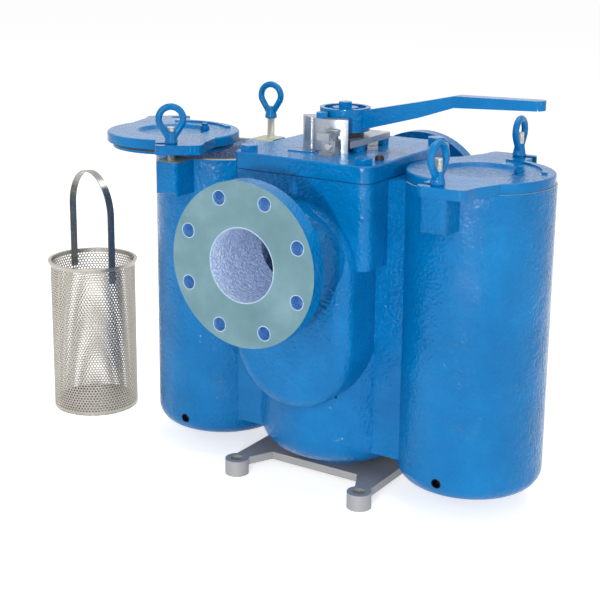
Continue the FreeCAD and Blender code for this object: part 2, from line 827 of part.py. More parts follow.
def bonnet_gasket():
    plate = bonnet_plate("gasket_plate", 0, gasket_thickness)
    tools = bonnet_drilling()
    tools.append(cylinder(bore_radius, 20, 0, 0, facing(-5)))
    return named(cut(plate, *tools), "bonnet_gasket")


def bonnet_bolts():
    """The four hexagon bolts at the corners of the bonnet, with lightly crowned heads."""
    bolts = []
    for side in (-1, 1):
        for end in (-1, 1):
            x, y = bonnet_bolt_across * side, bonnet_bolt_along * end
            head = hexagon(24, bonnet_bolt_head, x, y, facing(bonnet_top))
            crown = cone(17, 12, 5, x, y, facing(bonnet_top + bonnet_bolt_head - 5))
            crowned = common(head, fuse(crown, cylinder(17, 4, x, y, facing(bonnet_top))))
            low = facing(bonnet_top - bonnet_bolt_length)
            bolts.append(fuse(crowned, cylinder(bonnet_bolt_radius, bonnet_bolt_length, x, y, low)))
    return named(apart(*bolts), "bonnet_bolts")


def bonnet_cap():
    """A small round plug screwed into the bonnet."""
    low = facing(bonnet_top)
    wide = cylinder(bonnet_cap_radius, 5, bonnet_cap_across, -bonnet_cap_along, low)
    narrow = cylinder(bonnet_cap_radius - 1.5, 2, bonnet_cap_across, -bonnet_cap_along, low + 5)
    return named(fuse(wide, narrow), "bonnet_cap")


def gland_bush():
    """The bronze bush that the stem turns in, shouldered under the bonnet boss."""
    low, high = facing(-8), facing(bonnet_boss_top)
    return named(ring(stem_radius + 8, stem_radius + 0.05, low, high), "gland_bush")


def stem_seal():
    """The black seal ring round the stem, between the bonnet boss and the lever."""
    low, high = facing(bonnet_boss_top), facing(seal_top - 0.5)
    return named(ring(seal_radius, stem_radius + 0.05, low, high), "stem_seal")


# ---- stop plate, lock block and latch --------------------------------------------------------------

def sector(radius, start, middle, end, low, high):
    """A wedge of a disc between two bearings about the stem, with one corner on a bearing between them."""
    corners = [(0, 0)]
    for bearing in (start, middle, end):
        corners.append((across(radius, bearing), along(radius, bearing)))
    return slab("sector", corners, low, high)


def stop_plate():
    """The flat bare plate round the stem, cut away where the lock block and the latch stand."""
    low, high = facing(bonnet_boss_top), facing(stop_plate_top)
    left, right, front, rear = -stop_plate_left, stop_plate_right, -stop_plate_front, stop_plate_rear
    plate = slab("stop_plate_blank", [(left, front), (right, front), (right, rear), (left, rear)], low, high)
    rounded(plate, 5, is_upright)
    start, end = lock_block_start - 3, lock_block_end + 2
    corner = sector(stop_plate_rear * 3, start, lock_block_middle, end, low - 2, high + 2)
    tools = [cylinder(seal_radius + 0.3, 40, 0, 0, low - 5),
             cut(corner, cylinder(lock_block_inner - 0.8, 40, 0, 0, low - 5))]
    for y in (-stop_screw_front, stop_screw_rear):
        tools.append(cylinder(stop_screw_radius, 20, stop_screw_across, y, low - 5))
        tools.append(cylinder(stop_screw_head, stop_screw_sunk + 1, stop_screw_across, y,
                              high - stop_screw_sunk))
    return named(cut(plate, *tools), "stop_plate")


def stop_plate_screws():
    """Two flush screws that hold the plate on pads cast on the bonnet."""
    parts = []
    low = bonnet_top - stop_screw_depth
    top = stop_plate_top - stop_screw_sunk
    for y in (-stop_screw_front, stop_screw_rear):
        shank = cylinder(stop_screw_radius, span(low, top), stop_screw_across, y, facing(low))
        head = cylinder(stop_screw_head, stop_screw_sunk, stop_screw_across, y, facing(top))
        parts.append(fuse(shank, head))
    return named(apart(*parts), "stop_plate_screws")


def slide_way(width, front, back, low, high):
    """An opening for the slide, centred on its line."""
    return box(latch_across - width / 2, latch_across + width / 2, front, back, low, high)


def lock_block():
    """The guard block that stands beside the lever hub, with its groove and the way for the slide."""
    low, high = facing(bonnet_top), facing(lock_block_top)
    wedge = sector(lock_block_outer * 1.5, lock_block_start, lock_block_middle, lock_block_end, low, high)
    body = common(ring(lock_block_outer, lock_block_inner, low, high), wedge)
    tools = [cylinder(lock_groove_radius, 80, -lock_groove_across, -lock_groove_along, low - 5),
             cylinder(lock_bolt_radius, 60, -lock_bolt_across, -lock_bolt_along, high - 30),
             slide_way(slide_width + 0.4, -80, -20, facing(seal_top - 0.1),
                       facing(seal_top + slide_thickness + 0.1))]
    return named(cut(body, *tools), "lock_block")


def lock_block_bolt():
    """The hexagon bolt in the top of the lock block."""
    x, y = -lock_bolt_across, -lock_bolt_along
    top = facing(lock_block_top)
    bolt = fuse(hexagon(16, 8, x, y, top), cylinder(lock_bolt_radius, 30, x, y, top - 30))
    return named(bolt, "lock_block_bolt")


def latch_bracket():
    """The upright bracket that carries the lock slide in a through slot, on a foot that runs forward."""
    left, right = latch_across - latch_width / 2, latch_across + latch_width / 2
    front, back = -latch_front, -latch_front + latch_depth
    post = box(left, right, front, back, facing(bonnet_top), facing(latch_top))
    toe = box(left, right, front - latch_toe, back, facing(bonnet_top), facing(bonnet_top + latch_toe_height))
    low, high = facing(seal_top - 4), facing(seal_top + 6)
    tools = [slide_way(slide_width + 0.4, front - 5, back + 5, facing(seal_top - 0.1),
                       facing(seal_top + slide_thickness + 0.1)),
             box(left - 1, left + latch_notch, front - 1, back + 1, low, high),
             box(right - latch_notch, right + 1, front - 1, back + 1, low, high)]
    return named(cut(fuse(post, toe), *tools), "latch_bracket")


def latch_screw():
    """The round head of the screw in the front of the latch bracket."""
    rotation = Rotation(Vector(1, 0, 0), 90)
    height = facing(bonnet_top + latch_screw_height)
    head = cylinder(latch_screw_radius, 3, latch_across, -latch_front, height, rotation)
    return named(head, "latch_screw")


def lock_slide():
    """The flat bolt that slides toward the hub; its cross head stays outside the bracket."""
    low = facing(seal_top)
    half, half_head = slide_width / 2, slide_head_width / 2
    rest = -latch_front - slide_travel
    bar = box(latch_across - half, latch_across + half, rest - 5, -slide_tip, low, low + slide_thickness)
    head = box(latch_across - half_head, latch_across + half_head, rest - 8, rest - 1, low - 2,
               low + slide_thickness + 2)
    return named(fuse(bar, head), "lock_slide")


# ---- diverter --------------------------------------------------------------------------------------

def diverter_rotor():
    """Two levels of gate hung on one hub: each closes the idle chamber's port with a curved plate."""
    outer = bore_radius - running_clearance
    shell = ring(outer, bore_radius - gate_thickness, rotor_low, rotor_high)
    half = gate_angle / 2
    far = bore_radius * 2
    wedge = slab("gate_wedge", [(0, 0), (-across(far, half), along(far, half)), (-far * 1.5, 0),
                                (-across(far, half), -along(far, half))], rotor_low, rotor_high)
    gates = common(shell, wedge)
    plates = [cylinder(outer, rotor_plate, 0, 0, rotor_low),
              cylinder(outer, rotor_plate + 2, 0, 0, divider_height - rotor_plate / 2),
              ring(outer, bore_radius - gate_thickness - 12, rotor_high - rotor_plate, rotor_high)]
    spokes = [box(-bore_radius + 6, 0, -5, 5, rotor_low, rotor_high),
              box(0, bore_radius - 16, -5, 5, rotor_high - rotor_plate, rotor_high)]
    hub = cylinder(hub_radius, span(rotor_low, rotor_high), 0, 0, rotor_low)
    half_key = key_width / 2
    keyway = box(0, stem_radius + 4, -half_key, half_key, divider_height - 60, divider_height + 60)
    hole = cylinder(stem_radius, 600, 0, 0, 10)
    return named(cut(fuse(gates, *plates, *spokes, hub), hole, keyway), "diverter_rotor")


def diverter_stem():
    """The stem: a pivot below, the keyed length through the rotor, and the end clamped in the lever."""
    top = facing(lever_head_top) - recess_depth
    low = bore_floor - pivot_depth + 0.5
    shaft = cylinder(stem_radius, span(bore_floor + 4, top), 0, 0, bore_floor + 4)
    pivot = cylinder(pivot_radius, span(low, bore_floor + 5), 0, 0, low)
    keyway = box(stem_radius - 4, stem_radius + 1, -key_width / 2, key_width / 2, divider_height - 60,
                 divider_height + 60)
    tapped = cylinder(lever_bolt_radius, 30, 0, 0, top - 29)
    return named(cut(fuse(shaft, pivot), keyway, tapped), "diverter_stem")


def stem_key():
    """The flat key between the stem and the rotor."""
    key = box(stem_radius - 4, stem_radius + 4, -key_width / 2, key_width / 2, divider_height - 60,
              divider_height + 60)
    return named(key, "stem_key")


def thrust_washer():
    """The ring under the rotor that carries its weight."""
    return named(ring(hub_radius, pivot_radius + 1, bore_floor, rotor_low), "thrust_washer")


def lever_arm():
    """The lever's arm: deep where it leaves the hub, rising to a bend, then thin and nearly level."""
    root_low, root_top = facing(lever_head_low - 3), facing(lever_head_top)
    bend_top, end_top = facing(lever_bend_height), facing(lever_end_height)
    corners = [(30, root_low), (lever_start, root_low), (lever_rise, facing(lever_rise_low)),
               (lever_bend, bend_top - lever_thickness - 2), (lever_reach, end_top - lever_thickness + 1),
               (lever_reach, end_top), (lever_bend, bend_top), (lever_rise, facing(lever_rise_top)),
               (lever_start + 2, root_top + 1), (30, root_top - 3)]
    arm = side_piece("lever_arm", corners, lever_width)
    limit = number(lever_reach) - 10

    def is_end(edge):
        return is_upright(edge) and edge.BoundBox.XMin > limit
    return rounded(arm, lever_width / 2 - 1, is_end)


def lever_handle():
    """The cast lever: head with a shallow recess, notched collar below, and a cranked arm."""
    head_low, head_top = facing(lever_head_low), facing(lever_head_top)
    head = cylinder(lever_head_radius, span(head_low, head_top), 0, 0, head_low)
    collar = cylinder(lever_collar_radius, span(facing(seal_top), head_low), 0, 0, facing(seal_top))
    half = slide_width / 2 + 0.3
    low, high = facing(seal_top - 1), facing(seal_top + slide_thickness + 0.5)
    tools = [box(latch_across - half, latch_across + half, -60, -lever_notch, low, high),
             box(-latch_across - half, -latch_across + half, lever_notch, 60, low, high),
             cylinder(recess_radius, 20, 0, 0, head_top - recess_depth),
             cylinder(stem_radius, 60, 0, 0, facing(seal_top) - 10)]
    return named(cut(fuse(lever_arm(), head, collar), *tools), "lever_handle")


def lever_washer():
    """The washer in the recess of the lever's head."""
    low = facing(lever_head_top) - recess_depth
    return named(ring(lever_washer_radius, lever_bolt_radius, low, low + lever_washer_height), "lever_washer")


def lever_bolt():
    """The bolt that holds the lever down on the stem."""
    seat = facing(lever_head_top) - recess_depth + lever_washer_height
    head = hexagon(lever_bolt_across, 8, 0, 0, seat)
    return named(fuse(head, cylinder(lever_bolt_radius, 31, 0, 0, seat - 31)), "lever_bolt")


# ---- covers ----------------------------------------------------------------------------------------

def ear(flip):
    """One ear of a cover, from the chamber's middle outward; flip is 1 in front and -1 at the rear."""
    reach = stud_reach + ear_reach
    corners = [(-ear_narrow, -40), (-ear_narrow, -reach), (ear_wide, -reach + 3),
               (ear_wide + 4, -stud_reach + 12), (66, -82), (40, -40)]
    turned_corners = [(as_size(x) * flip, as_size(y) * flip) for x, y in corners]
    return slab("ear", turned_corners, Size(0, "0"), cover_thickness)


def as_size(value):
    if isinstance(value, Size):
        return value
    return Size(float(value), repr(float(value)))


def cover_rib():
    """The low curved rib on a quarter of the cover."""
    full = cut(cylinder(rib_outer, rib_height, 0, 0, cover_thickness),
               cylinder(rib_inner, 10, 0, 0, cover_thickness - 2))
    return cut(full, box(-120, 120, -120, 20, 0, 60), box(-120, 0, -120, 120, 0, 60))


def ear_slot(flip):
    """The open slot of an ear: a round end on the stud, open to the side that swings off first."""
    along_at = -stud_reach * flip
    left, right = (-60, 0) if flip > 0 else (0, 60)
    mouth = box(left, right, along_at - slot_half, along_at + slot_half, -10, 30)
    return fuse(cylinder(slot_half, 40, 0, along_at, -10), mouth)


def cover_casting():
    """A chamber cover about its own middle: disc, dished top, spigot and two slotted ears."""
    spigot_radius = chamber_radius - chamber_wall - spigot_clearance
    disc = turned("disc", [(0, 0), (cover_radius, 0), (cover_radius, cover_thickness), (0, cover_thickness)])
    rounded(disc, 3, at_level(cover_thickness))
    spigot = cylinder(spigot_radius, spigot_depth + 4, 0, 0, -spigot_depth)
    ears = [rounded(ear(1), 11, is_outer_corner), rounded(ear(-1), 11, is_outer_corner)]
    dish_low = cover_thickness - dish_depth
    groove = cut(cylinder(spigot_radius + 1, 3.2, 0, 0, -5.2), cylinder(spigot_radius - 2.6, 4, 0, 0, -5.4))
    tools = [cone(dish_radius - 4, dish_radius + 1, dish_depth + 1, 0, 0, dish_low),
             cylinder(spigot_radius - 12, spigot_depth - 2, 0, 0, -spigot_depth), groove,
             cylinder(vent_radius - 2, 60, vent_across, vent_along, -30),
             cylinder(vent_radius + 0.2, 20, vent_across, vent_along, dish_low), ear_slot(1), ear_slot(-1)]
    return cut(fuse(disc, spigot, cover_rib(), *ears), *tools)


def is_outer_corner(edge):
    """A rule that picks the upright corners of an ear beyond the disc."""
    return is_upright(edge) and abs(edge.BoundBox.YMin) > 100


def on_right_chamber(thing):
    """Put a piece drawn about a cover's middle on the closed right cover."""
    return place(thing, chamber_offset, 0, facing_height)


def on_left_chamber(thing):
    """Put a piece drawn about a cover's middle on the raised and swung left cover."""
    x = -chamber_offset - along(stud_reach, cover_swing)
    y = across(stud_reach, cover_swing) - stud_reach
    place(thing, x, y, facing(cover_raised))
    return turn(thing, cover_swing)


def cover_ring():
    """The black sealing ring in the groove of a cover's spigot."""
    spigot_radius = chamber_radius - chamber_wall - spigot_clearance
    return cut(cylinder(spigot_radius + 0.2, 3, 0, 0, -5.1), cylinder(spigot_radius - 2.6, 6, 0, 0, -6))


def vent_plug():
    """The screw plug of a cover's vent, standing at the edge of the dish."""
    low = cover_thickness - dish_depth
    return fuse(cylinder(vent_radius, 7, vent_across, vent_along, low),
                hexagon(9, 4, vent_across, vent_along, low + 7),
                cylinder(vent_radius - 2, 12, vent_across, vent_along, low - 12))


# ---- studs and eye nuts ----------------------------------------------------------------------------

def cover_studs():
    """The four plain studs that the covers' slots swing on and off."""
    studs = [cylinder(stud_radius, stud_depth + stud_top, chamber_offset * side, stud_reach * end,
                      facing_height - stud_depth) for side in (-1, 1) for end in (-1, 1)]
    return named(apart(*studs), "cover_studs")


def eye_nut(label, side, end, height, degrees):
    """A lifting-eye nut: tapered collar, two straight arms and a round top, turned by an angle."""
    rise = eye_height - eye_foot
    lean = math.degrees(math.asin(number(eye_ring) / number(rise)))
    lean_size = Size(lean, "asin(%s / %s)" % (eye_ring.formula, rise.formula))
    reach_size = across(rise, lean_size)
    collar = cone(eye_collar - 1, eye_collar, 2, 0, 0, 0)
    neck = cone(eye_collar, eye_neck, eye_neck_top - 2, 0, 0, 2)
    parts = [collar, neck]
    for sign in (-1, 1):
        arm = cylinder(eye_wire, reach_size, 0, 0, eye_foot, Rotation(Vector(0, 1, 0), lean * sign))
        bind(arm, "Placement.Rotation.Angle", lean_size * sign)
        parts.append(arm)
    bow = document.addObject("Part::Torus", "bow")
    bind(bow, "Radius1", eye_ring)
    bind(bow, "Radius2", eye_wire)
    bind(bow, "Angle3", lean_size * 2 + Size(180, "180 deg"))
    bow.Placement = Placement(Vector(0, 0, number(eye_height)),
                              Rotation(Vector(1, 0, 0), 90) * Rotation(Vector(0, 0, 1), -lean))
    bind(bow, "Placement.Base.z", eye_height)
    parts.append(bow)
    nut = cut(fuse(*parts), cylinder(stud_radius + thread_clearance, 40, 0, 0, -5))
    place(nut, chamber_offset * side, stud_reach * end, facing(height))
    turn(nut, degrees)
    return named(nut, label)


# ---- baskets ---------------------------------------------------------------------------------------

def basket(prefix, x, y, low, degrees):
    """A strainer basket in four pieces: shell, bottom, rim and bail."""
    shell = ring(basket_radius, basket_radius - basket_wall, low + basket_wall, low + basket_height, x, y)
    named(shell, prefix + "_shell")
    bottom = cylinder(basket_radius, basket_wall, x, y, low)
    named(bottom, prefix + "_bottom")
    lip = basket_rim_height - 1.5
    rim = turned("rim", [(basket_radius, 0), (basket_radius + 2, 0), (basket_rim_radius, lip),
                         (basket_rim_radius, basket_rim_height), (basket_radius, basket_rim_height)])
    place(rim, x, y, low + basket_height - basket_rim_height)
    named(rim, prefix + "_rim")
    return named(bail(x, y, low + basket_height, degrees), prefix + "_bail")


def bail(x, y, top, degrees):
    """A flat strip bent into a tall arch whose feet are fixed inside the rim."""
    outer = basket_radius - basket_wall
    inner = outer - bail_thickness
    rise = bail_height - outer
    half = bail_width / 2
    legs = box(-outer, outer, -half, half, -28, rise)
    crown = cylinder(outer, bail_width, 0, -half, rise, LENGTHWISE)
    hollow = [box(-inner, inner, -half - 1, half + 1, -60, rise),
              cylinder(inner, bail_width + 2, 0, -half - 1, rise, LENGTHWISE)]
    arch = common(cut(fuse(legs, crown), *hollow), cylinder(outer, 400, 0, 0, -100))
    place(arch, x, y, top)
    return turn(arch, degrees)


# ---- assembly --------------------------------------------------------------------------------------

body_casting()
foot_bracket()
foot_bolts()
bonnet()
bonnet_gasket()
bonnet_bolts()
bonnet_cap()
gland_bush()
stem_seal()
stop_plate()
stop_plate_screws()
lock_block()
lock_block_bolt()
latch_bracket()
latch_screw()
lock_slide()
diverter_rotor()
diverter_stem()
stem_key()
thrust_washer()
lever_handle()
lever_washer()
lever_bolt()
named(on_right_chamber(cover_casting()), "right_cover")
named(on_right_chamber(cover_ring()), "right_cover_ring")
named(on_right_chamber(vent_plug()), "right_vent_plug")
named(on_left_chamber(cover_casting()), "left_cover")
named(on_left_chamber(cover_ring()), "left_cover_ring")
named(on_left_chamber(vent_plug()), "left_vent_plug")
cover_studs()
eye_nut("right_front_eye_nut", 1, -1, cover_thickness, right_front_turn)
eye_nut("right_rear_eye_nut", 1, 1, cover_thickness, right_rear_turn)
eye_nut("left_front_eye_nut", -1, -1, cover_raised + cover_thickness, left_front_turn)
eye_nut("left_rear_eye_nut", -1, 1, nut_backed_off, left_rear_turn)
basket("basket", chamber_offset, 0, ledge_height - basket_height + basket_rim_height, bail_turn)
basket("spare_basket", loose_across, loose_along, Size(0, "0"), spare_bail_turn)

document.recompute()

for thing in document.Objects:
    if "Invalid" in thing.State or "Error" in thing.State:
        raise RuntimeError("%s (%s) failed: %s" % (thing.Name, thing.Label, thing.State))
for thing in SUB_PARTS:
    if thing.Shape.isNull() or not thing.Shape.isValid():
        raise RuntimeError("%s has no valid shape" % thing.Label)

os.makedirs("parts", exist_ok=True)
for thing in SUB_PARTS:
    thing.Shape.exportStep("parts/%s.step" % thing.Label)
    print("%-22s %d solids %10.0f mm3" % (thing.Label, len(thing.Shape.Solids), thing.Shape.Volume))
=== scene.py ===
import json
import math

import bpy
import numpy as np
from mathutils import Matrix, Vector


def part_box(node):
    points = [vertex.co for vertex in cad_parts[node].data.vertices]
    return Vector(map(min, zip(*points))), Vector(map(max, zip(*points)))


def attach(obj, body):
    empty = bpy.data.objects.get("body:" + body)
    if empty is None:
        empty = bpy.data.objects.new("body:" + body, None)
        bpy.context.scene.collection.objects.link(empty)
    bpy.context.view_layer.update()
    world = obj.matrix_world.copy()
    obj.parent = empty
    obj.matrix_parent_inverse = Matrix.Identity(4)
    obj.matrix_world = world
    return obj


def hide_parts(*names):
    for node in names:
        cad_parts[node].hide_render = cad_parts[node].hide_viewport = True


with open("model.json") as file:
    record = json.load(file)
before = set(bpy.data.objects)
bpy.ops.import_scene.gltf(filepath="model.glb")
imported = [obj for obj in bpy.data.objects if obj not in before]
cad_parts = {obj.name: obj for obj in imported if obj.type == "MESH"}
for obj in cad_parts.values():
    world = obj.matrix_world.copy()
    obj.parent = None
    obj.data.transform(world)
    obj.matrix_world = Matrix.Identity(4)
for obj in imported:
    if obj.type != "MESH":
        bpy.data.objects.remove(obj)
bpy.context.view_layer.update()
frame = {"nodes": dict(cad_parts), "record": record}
nodes = frame["nodes"]


# ---- mesh from arrays ----------------------------------------------------------------------------

def grid_piece(name, points, closed_u=False, closed_v=False, body="strainer",
               smooth=True):
    """A mesh from a grid of points: rows run with the first parameter, columns with the second."""
    rows, columns = points.shape[:2]
    r = np.arange(rows if closed_u else rows - 1)
    c = np.arange(columns if closed_v else columns - 1)
    a, b = np.meshgrid(r, c, indexing="ij")
    a2, b2 = (a + 1) % rows, (b + 1) % columns
    corners = [a * columns + b, a2 * columns + b, a2 * columns + b2, a * columns + b2]
    faces = np.stack(corners, -1).reshape(-1, 4)
    return mesh_piece(name, points.reshape(-1, 3), faces, body, smooth)


def mesh_piece(name, points, faces, body, smooth=True):
    """A piece from points and equal-sided faces, riding on a body."""
    mesh = bpy.data.meshes.new(name)
    mesh.from_pydata(points.tolist(), [], faces.tolist())
    mesh.validate()
    mesh.polygons.foreach_set("use_smooth", np.full(len(mesh.polygons), smooth))
    mesh.update()
    piece = bpy.data.objects.new(name, mesh)
    bpy.context.scene.collection.objects.link(piece)
    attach(piece, body)
    return piece


# ---- finishes ------------------------------------------------------------------------------------

class Finish:
    """A node material under construction; each method adds one node and returns its output."""

    def __init__(self, name, color, metallic=0.0, roughness=0.5, specular=0.5):
        self.material = bpy.data.materials.new(name)
        self.material.use_nodes = True
        self.tree = self.material.node_tree
        self.shader = self.tree.nodes["Principled BSDF"]
        self.shader.inputs["Base Color"].default_value = (*color, 1)
        self.shader.inputs["Metallic"].default_value = metallic
        self.shader.inputs["Roughness"].default_value = roughness
        self.shader.inputs["Specular IOR Level"].default_value = specular
        self.place = self.tree.nodes.new("ShaderNodeTexCoord").outputs["Object"]

    def link(self, output, socket):
        self.tree.links.new(output, self.shader.inputs[socket])

    def noise(self, scale, detail=4.0, roughness=0.5, place=None):
        node = self.tree.nodes.new("ShaderNodeTexNoise")
        node.inputs["Scale"].default_value = scale
        node.inputs["Detail"].default_value = detail
        node.inputs["Roughness"].default_value = roughness
        self.tree.links.new(place or self.place, node.inputs["Vector"])
        return node.outputs["Fac"]

    def stretched(self, scale, turn=(0, 0, 0)):
        node = self.tree.nodes.new("ShaderNodeMapping")
        node.inputs["Scale"].default_value = scale
        node.inputs["Rotation"].default_value = turn
        self.tree.links.new(self.place, node.inputs["Vector"])
        return node.outputs["Vector"]

    def ramp(self, fac, *stops):
        node = self.tree.nodes.new("ShaderNodeValToRGB")
        elements = node.color_ramp.elements
        while len(elements) < len(stops):
            elements.new(0.5)
        for element, (position, color) in zip(elements, stops):
            element.position = position
            element.color = (*color, 1) if isinstance(color, tuple) else (color, color, color, 1)
        self.tree.links.new(fac, node.inputs["Fac"])
        return node.outputs["Color"]

    def math(self, operation, first, second=0.0, clamp=False):
        node = self.tree.nodes.new("ShaderNodeMath")
        node.operation = operation
        node.use_clamp = clamp
        for socket, value in zip(node.inputs, (first, second)):
            if isinstance(value, (int, float)):
                socket.default_value = value
            else:
                self.tree.links.new(value, socket)
        return node.outputs["Value"]

    def mix(self, fac, first, second):
        node = self.tree.nodes.new("ShaderNodeMix")
        node.data_type = "RGBA"
        for index, value in ((0, fac), (6, first), (7, second)):
            socket = node.inputs[index]
            if isinstance(value, tuple):
                socket.default_value = (*value, 1)
            elif isinstance(value, (int, float)):
                socket.default_value = value if index == 0 else (value, value, value, 1)
            else:
                self.tree.links.new(value, socket)
        return node.outputs[2]

    def axes(self):
        node = self.tree.nodes.new("ShaderNodeSeparateXYZ")
        self.tree.links.new(self.place, node.inputs[0])
        return node.outputs

    def bump(self, height, distance, strength=1.0, below=None):
        node = self.tree.nodes.new("ShaderNodeBump")
        node.inputs["Distance"].default_value = distance
        node.inputs["Strength"].default_value = strength
        self.tree.links.new(height, node.inputs["Height"])
        if below is not None:
            self.tree.links.new(below, node.inputs["Normal"])
        self.link(node.outputs["Normal"], "Normal")
        return node.outputs["Normal"]


def inside(finish, distance, limit):
    """1 where a distance is below a limit, else 0."""
    return finish.math("LESS_THAN", distance, limit)


def from_axis(finish, first, first_at, second, second_at):
    """Distance from a line along one axis: the root of the two squared offsets added together."""
    a = finish.math("POWER", finish.math("SUBTRACT", first, first_at), 2.0)
    b = finish.math("POWER", finish.math("SUBTRACT", second, second_at), 2.0)
    return finish.math("SQRT", finish.math("ADD", a, b))


ENAMEL_LOW, ENAMEL, ENAMEL_HIGH = (0.0, 0.132, 0.37), (0.0, 0.162, 0.43), (0.003, 0.2, 0.51)
ENAMEL_GLEAM = 0.17
WAVE_HEIGHT, PEEL_HEIGHT, GRAIN_HEIGHT = 0.003, 0.0010, 0.0018

# places on the body casting, in metres
PIPE_LINE = 0.374
CHAMBER_OFFSET = 0.22
FLANGE_FACE = 0.26385
FACING_SEAT = 0.47285
DRAIN_HEIGHT = 0.057
HOLE_ACROSS, HOLE_ALONG = 0.0880, 0.03645
HOLE_HIGHLIGHT_RIM, BORE_HIGHLIGHT_RIM = 0.0106, 0.0524
DRILLED_REACH, DRILLED_FROM = 0.108, 0.2405
BORE_REACH, BORE_FROM = 0.0516, 0.1
CHAMBER_ROOM, CHAMBER_ROOM_LOW, CHAMBER_SEAT = 0.0965, 0.0437, 0.141
BARREL, BARREL_LOW, BARREL_OUTSIDE = 0.0945, 0.0555, 0.1055
HUMP_LOW, HUMP_HIGH, HUMP_ROOM, HUMP_FRONT = 0.232, 0.343, 0.0842, -0.1432
DRAIN_RADIUS, DRAIN_FROM = 0.0074, -0.08
TURNING_RINGS = 5200.0
THREAD_PITCH = 0.00175

# basket sheet, in metres
SHEET, BAND = 0.0012, 0.0015
BAND_FOOT, BAND_HEAD, BAND_LAP = 0.004, 0.006, 0.001


def enamel(finish, rough, bare=None):
    """Gloss blue enamel on a sand casting: patchy colour, fine sandy grain over peel over slow waves.

    Where bare is 1 the surface has been turned and the grain is left off."""
    patches = finish.noise(9.0, 5.0, 0.6)
    color = finish.ramp(patches, (0.3, ENAMEL_LOW), (0.5, ENAMEL), (0.74, ENAMEL_HIGH))
    gloss = finish.math("ADD", finish.math("MULTIPLY", finish.noise(40.0, 3.0), 0.1), 0.04)
    heights = [finish.noise(16.0, 2.0, 0.5), finish.noise(70.0, 1.0, 0.4), finish.noise(215.0, 1.0, 0.5)]
    if bare is not None:
        rough_cast = finish.math("SUBTRACT", 1.0, bare)
        heights = [finish.math("MULTIPLY", height, rough_cast) for height in heights]
    below = None
    for height, distance in zip(heights, (WAVE_HEIGHT, PEEL_HEIGHT, GRAIN_HEIGHT)):
        below = finish.bump(height, distance * rough, 1.0, below)
    return color, gloss


def small_casting_enamel():
    """The same enamel, smoother, on the bonnet's small parts, covers, nuts and lever."""
    finish = Finish("blue_enamel_on_small_castings", ENAMEL, specular=ENAMEL_GLEAM)
    color, gloss = enamel(finish, 0.4)
    finish.link(color, "Base Color")
    finish.link(gloss, "Roughness")
    return finish


def both(finish, first, second):
    """1 where both masks are 1."""
    return finish.math("MULTIPLY", first, second)


def beyond(finish, value, limit):
    """1 where a value is above a limit, else 0."""
    return finish.math("GREATER_THAN", value, limit)


def turned_places(finish, places, from_pipe):
    """Masks of the turned flange faces, the seats on the chambers and the drilled flange holes."""
    x, y, z = places
    out = finish.math("ABSOLUTE", y)
    face = beyond(finish, out, FLANGE_FACE)
    on_chamber = beyond(finish, finish.math("ABSOLUTE", x), CHAMBER_SEAT)
    seat = both(finish, beyond(finish, z, FACING_SEAT), on_chamber)
    drilled = both(finish, inside(finish, from_pipe, DRILLED_REACH), beyond(finish, out, DRILLED_FROM))
    return face, seat, drilled


def primed_places(finish, places, from_pipe):
    """Mask of the primed insides: pipe bores, chambers, the diverter's barrel and the outlet hump."""
    x, y, z = places
    from_chamber = from_axis(finish, finish.math("ABSOLUTE", x), CHAMBER_OFFSET, y, 0.0)
    from_stem = from_axis(finish, x, 0.0, y, 0.0)
    bore = both(finish, inside(finish, from_pipe, BORE_REACH),
                beyond(finish, finish.math("ABSOLUTE", y), BORE_FROM))
    room = both(finish, inside(finish, from_chamber, CHAMBER_ROOM), beyond(finish, z, CHAMBER_ROOM_LOW))
    barrel = both(finish, inside(finish, from_stem, BARREL), beyond(finish, z, BARREL_LOW))
    along_hump = finish.math("MINIMUM", finish.math("MAXIMUM", z, HUMP_LOW), HUMP_HIGH)
    from_hump = from_axis(finish, x, 0.0, z, along_hump)
    behind_front = both(finish, beyond(finish, y, HUMP_FRONT), inside(finish, y, 0.0))
    outlet = both(finish, inside(finish, from_hump, HUMP_ROOM), behind_front)
    outlet = both(finish, outlet, beyond(finish, from_stem, BARREL_OUTSIDE))
    return finish.math("MAXIMUM", finish.math("MAXIMUM", bore, room),
                       finish.math("MAXIMUM", barrel, outlet))


def small_places(finish, places, from_pipe):
    """Masks of the painted highlight on the broken edges round the flange's nine holes, and of the painted
    shade in the two drain holes.
    """
    x, y, z = places
    aside = finish.math("ABSOLUTE", x)
    above = finish.math("ABSOLUTE", finish.math("SUBTRACT", z, PIPE_LINE))
    from_hole = from_axis(finish, finish.math("MAXIMUM", aside, above), HOLE_ACROSS,
                          finish.math("MINIMUM", aside, above), HOLE_ALONG)
    rim = finish.math("MAXIMUM", inside(finish, from_hole, HOLE_HIGHLIGHT_RIM), inside(finish, from_pipe, BORE_HIGHLIGHT_RIM))
    from_drain = from_axis(finish, aside, CHAMBER_OFFSET, z, DRAIN_HEIGHT)
    drain_shade = both(finish, inside(finish, from_drain, DRAIN_RADIUS), inside(finish, y, DRAIN_FROM))
    return rim, drain_shade


